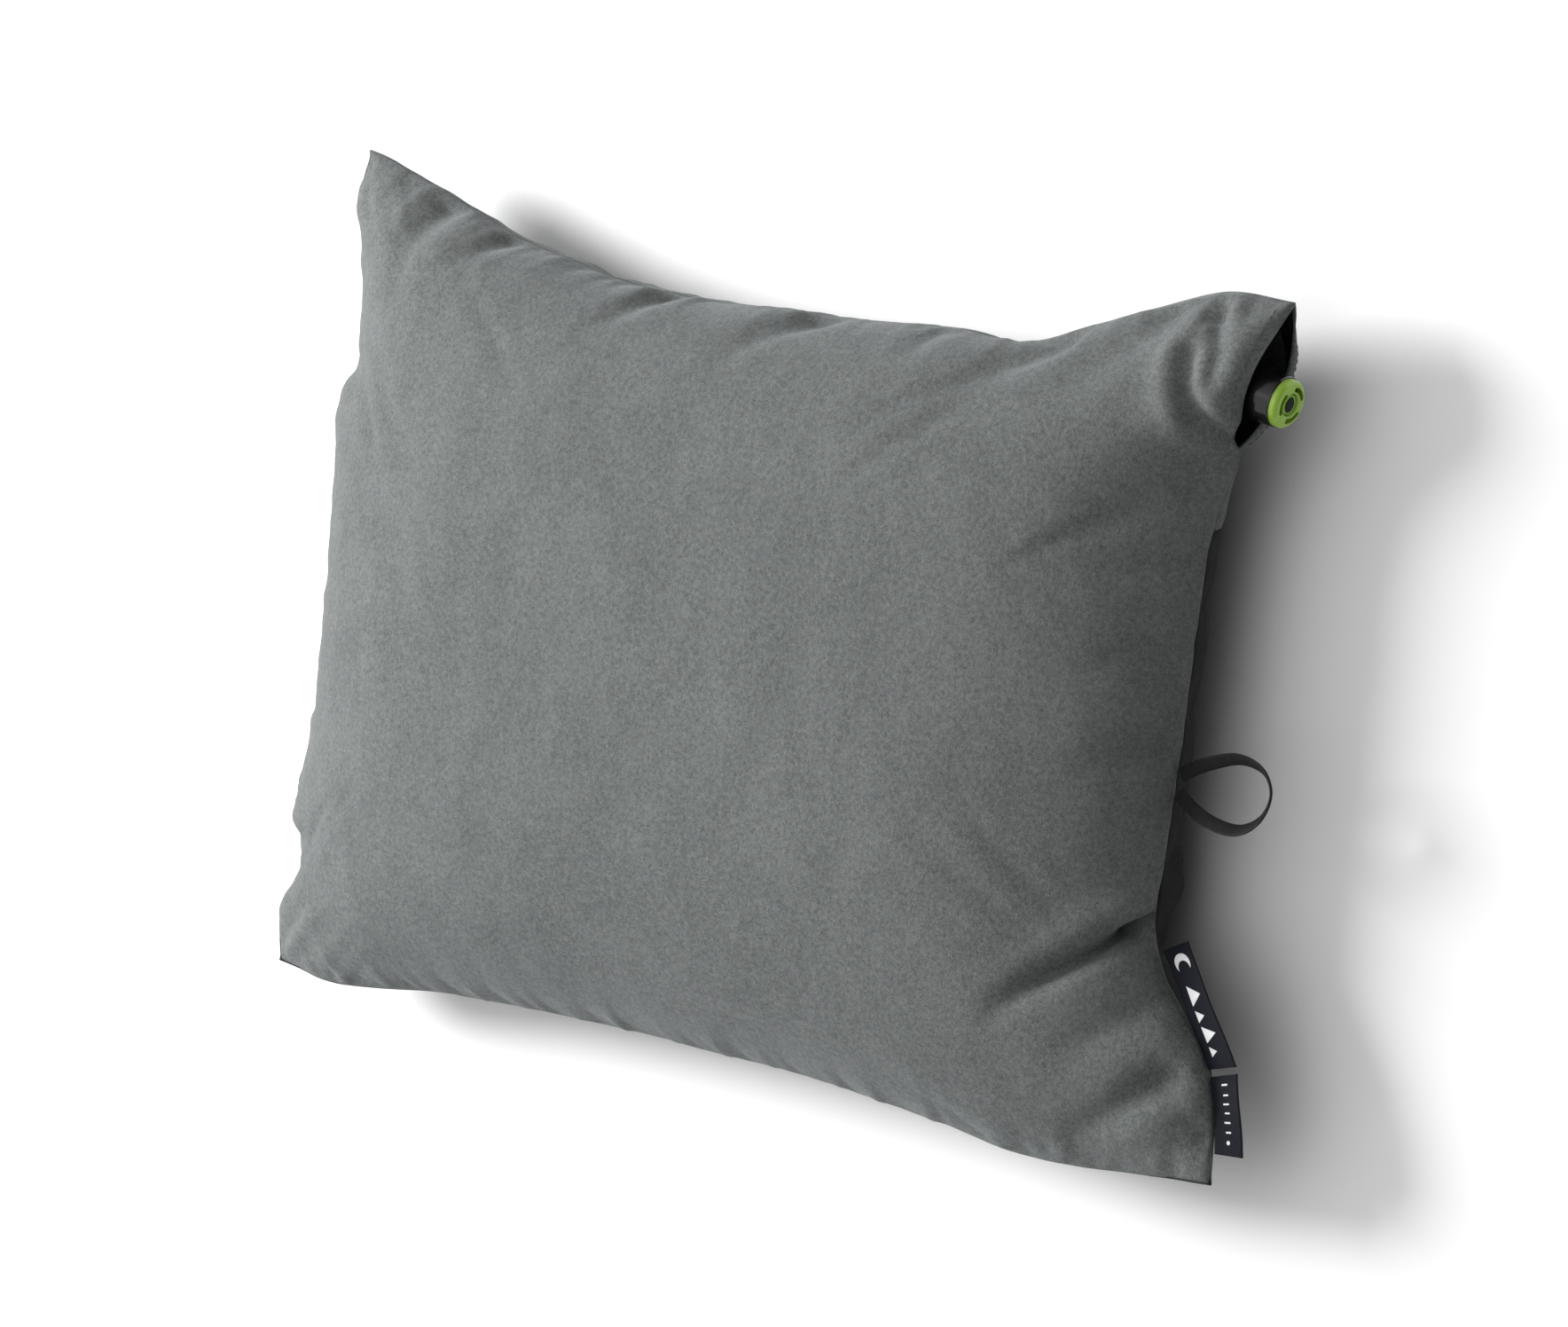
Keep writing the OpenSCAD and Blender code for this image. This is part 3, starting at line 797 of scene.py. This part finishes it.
# hem tapes inside the two lips
HEM_COLUMNS = 6
HEM_DEPTH = 1.35
for name, points, normals, cad in (("hem_front", front_grid, front_normals, "mouth_hem_front"),
                                   ("hem_back", back_grid, back_normals, "mouth_hem_back")):
    strip = points[NU - HEM_COLUMNS:NU, lip_slice] - normals[NU - HEM_COLUMNS:NU, lip_slice] * HEM_DEPTH
    rows = strip.shape[1] - 1
    quads = grid_faces(HEM_COLUMNS - 1, rows, cad.endswith("back"))
    hem = new_mesh_object(name, strip.reshape(-1, 3), quads)
    add_uv(hem, flat_places[NU - HEM_COLUMNS:NU, lip_slice].reshape(-1, 2) * MM)
    thicken(hem, 0.6, 0, 0)
    finish_piece(hem, "pillow", "hem_tape", [cad], TAPE)

# ---------------------------------------------------------------- inside: foam, bladder and webs

INNER_STEP = 4
HALF_LENGTH = 292
HALF_DEPTH = 216
# the cover is felt for at these places around each point, in mm
AROUND = ((0, 0), (8, 0), (-8, 0), (0, 8), (0, -8), (5, 5), (-5, -5), (5, -5), (-5, 5))


def tree_of(points):
    """A search tree of a panel's faces, in mm."""
    flat = [tuple(p) for p in points.reshape(-1, 3)]
    return BVHTree.FromPolygons(flat, grid_faces(NU, NV).tolist())


outer_trees = tree_of(front_grid), tree_of(back_grid)


def nested(points, side, inset, z_share, clear):
    """A coarser copy of a panel's grid, drawn in towards the middle and kept clear of the cover."""
    coarse = points[::INNER_STEP, ::INNER_STEP].copy()
    coarse[..., 0] *= 1 - inset / HALF_LENGTH
    coarse[..., 1] *= 1 - inset / HALF_DEPTH
    coarse[..., 2] = SEAM_Z + (coarse[..., 2] - SEAM_Z) * z_share
    for p in coarse.reshape(-1, 3):
        up = 1 if side == 0 else -1
        for dx, dy in AROUND:
            start = Vector((p[0] + dx, p[1] + dy, SEAM_Z - up * 60))
            hit = outer_trees[side].ray_cast(start, Vector((0, 0, up)))
            if hit[0] is not None:
                room = max((hit[0].z - SEAM_Z) * up - clear, 0.2)
                p[2] = SEAM_Z + up * min((p[2] - SEAM_Z) * up, room)
    return coarse


def inner_shell(name, points, side, wall, slot, cad, mat):
    """A closed shell of one wall thickness inside the cover."""
    ni, nj = points.shape[0] - 1, points.shape[1] - 1
    obj = new_mesh_object(name, points.reshape(-1, 3), grid_faces(ni, nj, side == 1))
    obj.data.materials.append(mat)
    thicken(obj, wall, 0, 0)
    finish_piece(obj, "pillow", slot, cad, mat)


foam_points = nested(front_grid, 0, 10, 0.94, 3.0)
trim = slice(5, -5)
inner_shell("foam_pad", foam_points[trim, trim], 0, 3.5, "foam", ["foam_topper"], FOAM)
top_points = nested(front_grid, 0, 30, 0.80, 9.0)
bottom_points = nested(back_grid, 1, 30, 0.90, 3.0)
inner_shell("bladder_top", top_points, 0, 0.4, "bladder_film", ["bladder_top_sheet"], FILM)
inner_shell("bladder_bottom", bottom_points, 1, 0.4, "bladder_film", ["bladder_bottom_sheet"], FILM)
WEB_SHARES = (0.2, 0.35, 0.5, 0.65, 0.8)
for number, share in enumerate(WEB_SHARES, 1):
    column = int(round(share * (top_points.shape[1] - 1)))
    run = slice(6, -6)
    upper = top_points[run, column] - (0, 0, 1.2)
    lower = bottom_points[run, column] + (0, 0, 1.2)
    rows = np.linspace(0, 1, 9)[None, :, None]
    sheet = lower[:, None] * (1 - rows) + upper[:, None] * rows
    sheet[..., 1] += 1.5 * np.sin(np.pi * rows[..., 0]) * (1 if number % 2 else -1)
    web = new_mesh_object(f"web_{number}", sheet.reshape(-1, 3), grid_faces(sheet.shape[0] - 1, 8))
    thicken(web, 0.5, 0, 0)
    finish_piece(web, "pillow", "web_film", [f"baffle_web_{number}"], WEB)

# ---------------------------------------------------------------- hang loop

LOOP_PATH = ((262.9, -19), (275, -12.5), (292, -7), (306, -10), (312, -20), (308, -32),
             (296, -39), (278, -36.5), (262.9, -28))
LOOP_BAND = 6.6
LOOP_WALL = 1.3
LOOP_TWIST = math.radians(58)
PLAIT_ROWS = 8
PLAIT_PITCH = 1.15


def loop_strip():
    """A flat braided band: flat in the seam at its roots, and turned nearly on edge at the far bend."""
    length_steps = 460
    around_steps = 44
    path = np.array(LOOP_PATH, float)
    s = np.linspace(-1, 1, length_steps + 1)
    line = np.stack([along(path[:, 0], s), along(path[:, 1], s), np.full_like(s, SEAM_Z)], -1)
    share = (s + 1) / 2
    line[:, 2] += 2.0 * np.sin(np.pi * share) * (share - 0.5)
    tangent = np.gradient(line, axis=0)
    tangent /= np.linalg.norm(tangent, axis=1, keepdims=True)
    flat_across = np.cross((0, 0, 1), tangent)
    twist = LOOP_TWIST * np.sin(np.pi * share) ** 1.3
    across = flat_across * np.cos(twist)[:, None] + np.array((0, 0, 1)) * np.sin(twist)[:, None]
    across -= (across * tangent).sum(1, keepdims=True) * tangent
    across /= np.linalg.norm(across, axis=1, keepdims=True)
    over = np.cross(tangent, across)
    run = np.concatenate([[0], np.cumsum(np.linalg.norm(np.diff(line, axis=0), axis=1))])
    angle = np.linspace(0, 2 * np.pi, around_steps, endpoint=False)
    # a flattened round section
    wide = np.sign(np.cos(angle)) * np.abs(np.cos(angle)) ** 0.55 * LOOP_BAND / 2
    thick = np.sign(np.sin(angle)) * np.abs(np.sin(angle)) ** 0.75 * LOOP_WALL / 2
    # plaits lean left and right in turn, with a small valley between two of them
    column = np.floor((wide / LOOP_BAND + 0.5) * (PLAIT_ROWS - 0.001))
    lean = np.where(column % 2 == 0, 1, -1)
    rib = np.abs(np.sin(np.pi * (run[:, None] / PLAIT_PITCH + lean[None, :] * wide[None, :] / 1.1)))
    valley = np.abs(np.sin(np.pi * (wide / LOOP_BAND + 0.5) * PLAIT_ROWS))[None, :]
    swell = 0.16 * rib ** 0.7 + 0.10 * valley - 0.16
    face = np.sign(np.sin(angle))[None, :] * np.abs(np.sin(angle))[None, :] ** 0.3
    points = (line[:, None] + across[:, None] * wide[None, :, None]
              + over[:, None] * (thick[None, :] + swell * face)[..., None])
    faces = []
    for i in range(length_steps):
        for m in range(around_steps):
            n = (m + 1) % around_steps
            faces.append((i * around_steps + m, (i + 1) * around_steps + m,
                          (i + 1) * around_steps + n, i * around_steps + n))
    faces.append(tuple(range(around_steps)))
    faces.append(tuple(length_steps * around_steps + m for m in range(around_steps))[::-1])
    obj = new_mesh_object("loop_band", points.reshape(-1, 3), faces)
    places = np.stack([np.broadcast_to(run[:, None], points.shape[:2]),
                       np.broadcast_to(wide[None, :] + 50, points.shape[:2])], -1)
    add_uv(obj, places.reshape(-1, 2) * MM)
    return obj


finish_piece(loop_strip(), "hang_loop", "elastic", ["hang_loop"], BRAID)

# ---------------------------------------------------------------- labels

MAIN_ROOT = ((265.9, -100.2), (275, -112.5), (284, -126.5), (292, -138), (299.1, -148.6))
MAIN_OUTER = ((279, -93), (288.5, -106), (298, -120.3), (306.5, -132.5), (314, -144))
SMALL_ROOT = ((300.5, -151.6), (303, -160), (305.2, -168), (307, -177), (308.3, -185.4))
SMALL_OUTER = ((315, -147), (317.6, -156), (320, -165), (322.2, -174.5), (324, -184))


class Label:
    """A folded ribbon between a root line on the seam and an outer edge.

    a runs along it from 0 to 1, and b runs across it from 0 at the seam to 1.
    """

    def __init__(self, root, outer, bow):
        self.root = np.array(root, float)
        self.outer = np.array(outer, float)
        self.bow = bow
        self.length = np.linalg.norm(self.outer[-1] - self.outer[0])
        self.width = np.linalg.norm((self.outer - self.root).mean(0))

    def at(self, a, b, height=0.0):
        """Points on the ribbon's middle, or height above it."""
        a = np.asarray(a, float)
        b = np.asarray(b, float)
        s = a * 2 - 1
        root = np.stack([along(self.root[:, k], s) for k in (0, 1)], -1)
        outer = np.stack([along(self.outer[:, k], s) for k in (0, 1)], -1)
        flat = root * (1 - b)[..., None] + outer * b[..., None]
        curl = self.bow * np.sin(np.pi * a) * b ** 2 + 0.5 * b ** 2 * np.sin(2 * np.pi * a)
        z = SEAM_Z + curl + height
        return np.concatenate([flat, z[..., None]], -1)

    def body(self, name, wall):
        """The ribbon, with a woven edge ridge and a folded outer edge; it starts just off the seam."""
        na = 80
        nb = 24
        a, b = np.meshgrid(np.linspace(0, 1, na + 1), np.linspace(0.03, 1, nb + 1), indexing="ij")
        edge = np.minimum(np.minimum(a, 1 - a) * self.length, (1 - b) * self.width)
        ridge = 0.10 * np.exp(-((edge - 0.7) / 0.5) ** 2)
        fold_over = -0.35 * np.exp(-((1 - b) * self.width / 0.5) ** 2)
        top = self.at(a, b, wall / 2 + ridge + fold_over)
        obj = new_mesh_object(name, top.reshape(-1, 3), grid_faces(na, nb, True))
        if obj.data.polygons[0].normal.z < 0:
            obj.data.flip_normals()
        add_uv(obj, np.stack([a * self.length, b * self.width], -1).reshape(-1, 2) * MM)
        thicken(obj, wall, 0, 0)
        return obj

    def motif(self, name, outlines, height):
        """Raised shapes of white thread; outlines are in mm along the label and across it."""
        made = bmesh.new()
        for outline in outlines:
            pts = np.array(outline, float)
            flat = self.at(pts[:, 0] / self.length, pts[:, 1] / self.width, height)
            ring = [made.verts.new(tuple(p * MM)) for p in flat]
            face = made.faces.new(ring)
            lifted = bmesh.ops.extrude_face_region(made, geom=[face])
            for item in lifted["geom"]:
                if isinstance(item, bmesh.types.BMVert):
                    item.co.z += 0.22 * MM
        bmesh.ops.triangulate(made, faces=made.faces[:])
        bmesh.ops.recalc_face_normals(made, faces=made.faces[:])
        mesh = bpy.data.meshes.new(name)
        made.to_mesh(mesh)
        made.free()
        obj = bpy.data.objects.new(name, mesh)
        scene.collection.objects.link(obj)
        add_uv(obj, np.array([v.co[:2] for v in mesh.vertices]))
        return obj


def disc(cx, cy, r, steps=20):
    """A round outline."""
    return [(cx + r * math.cos(2 * math.pi * k / steps), cy + r * math.sin(2 * math.pi * k / steps))
            for k in range(steps)]


def crescent(cx, cy, r):
    """A moon's outline, open to the right."""
    sweep = np.linspace(0.9, 2 * math.pi - 0.9, 26)
    outer = [(cx + r * math.cos(a), cy + r * math.sin(a)) for a in sweep]
    inner_r = 0.82 * r
    ix = cx + 0.52 * r
    angles = np.linspace(2 * math.pi - 1.42, 1.42, 20)[1:-1]
    inner = [(ix + inner_r * math.cos(a) * 0.95, cy + inner_r * math.sin(a) * 0.95) for a in angles]
    return outer + inner


def stroke(points, width):
    """The outline of a line of even width through the points, with mitred corners."""
    pts = np.array(points, float)
    sides = []
    for k in range(len(pts)):
        a = pts[max(k - 1, 0)]
        b = pts[min(k + 1, len(pts) - 1)]
        before = (pts[k] - a) if k else (b - pts[k])
        after = (b - pts[k]) if k < len(pts) - 1 else (pts[k] - a)
        before = before / np.linalg.norm(before)
        after = after / np.linalg.norm(after)
        n = np.array([-before[1] - after[1], before[0] + after[0]])
        n /= np.linalg.norm(n)
        half = width / 2 / max(0.35, float(n @ np.array([-before[1], before[0]])))
        sides.append((pts[k] + n * half, pts[k] - n * half))
    return [tuple(p[0]) for p in sides] + [tuple(p[1]) for p in reversed(sides)]


def hill(a, b, width, height):
    """A plain solid triangle with its foot towards the seam."""
    return [(a, b), (a + width, b), (a + width / 2, b + height)]


LABEL_WALL = 1.0
MOTIF_HEIGHT = LABEL_WALL / 2 - 0.02
main_label = Label(MAIN_ROOT, MAIN_OUTER, 1.6)
small_label = Label(SMALL_ROOT, SMALL_OUTER, 1.0)
finish_piece(main_label.body("main_label_ribbon", LABEL_WALL),
             "main_label", "label_weave", ["main_label"], LABEL)
finish_piece(small_label.body("small_label_ribbon", LABEL_WALL),
             "small_label", "label_weave", ["small_label"], LABEL)
main_mid = main_label.width / 2 + 0.4
small_mid = small_label.width / 2 + 0.3
# a moon over a row of hills
main_shapes = [crescent(9.5, main_mid, 4.3)]
for place, width, height in ((19, 9, 6.4), (30, 6, 4.2), (38, 9, 6.4), (49, 5, 3.4)):
    main_shapes.append(hill(place, main_mid - 3.0, width, height))
# a row of short bars and a dot
small_shapes = []
for number in range(6):
    place = 5 + 4.4 * number
    foot = small_mid - 1.6 + 0.5 * (number % 2)
    small_shapes.append(stroke([(place, foot), (place, small_mid + 1.6)], 0.8))
small_shapes.append(disc(31.5, small_mid, 0.9, 12))
finish_piece(main_label.motif("main_label_motif", main_shapes, MOTIF_HEIGHT),
             "main_label", "label_weave", [], THREAD)
finish_piece(small_label.motif("small_label_motif", small_shapes, MOTIF_HEIGHT),
             "small_label", "label_weave", [], THREAD)

# ---------------------------------------------------------------- valve: CAD nodes with their finish

VALVE_LOOKS = {
    "valve_base": BLACK,
    "valve_stem": BLACK,
    "stem_ring": RUBBER,
    "valve_knob": KNOB,
    "knob_clip": STEEL,
    "valve_plug": BLACK,
    "plug_seal": RUBBER,
    "cap_ring": GREEN,
    "cap_hub": HUB,
    "cap_badge": BADGE,
}
# how far each edge is rounded, in mm
BEVELLED = {"valve_knob": 0.35, "cap_ring": 0.22, "cap_hub": 0.1, "cap_badge": 0.12}
for name, mat in VALVE_LOOKS.items():
    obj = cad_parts[name]
    obj.data.materials.clear()
    obj.data.materials.append(mat)
    obj.data.polygons.foreach_set("use_smooth", [True] * len(obj.data.polygons))
    obj.data.set_sharp_from_angle(angle=math.radians(32))
    if name in BEVELLED:
        edge = obj.modifiers.new("edge", "BEVEL")
        edge.width = BEVELLED[name] * MM
        edge.segments = 2
        edge.limit_method = "ANGLE"
        edge.angle_limit = math.radians(40)
        edge.harden_normals = True

# ---------------------------------------------------------------- stage and the closing lines

make_camera()
make_stage()
make_light("key", (-2.1, 0.45, 1.6), (-0.05, 0, 0.05), 1.1, 100)
make_light("top", (0.2, 0.3, 2.8), (0.2, 0, 0.0), 2.4, 8)
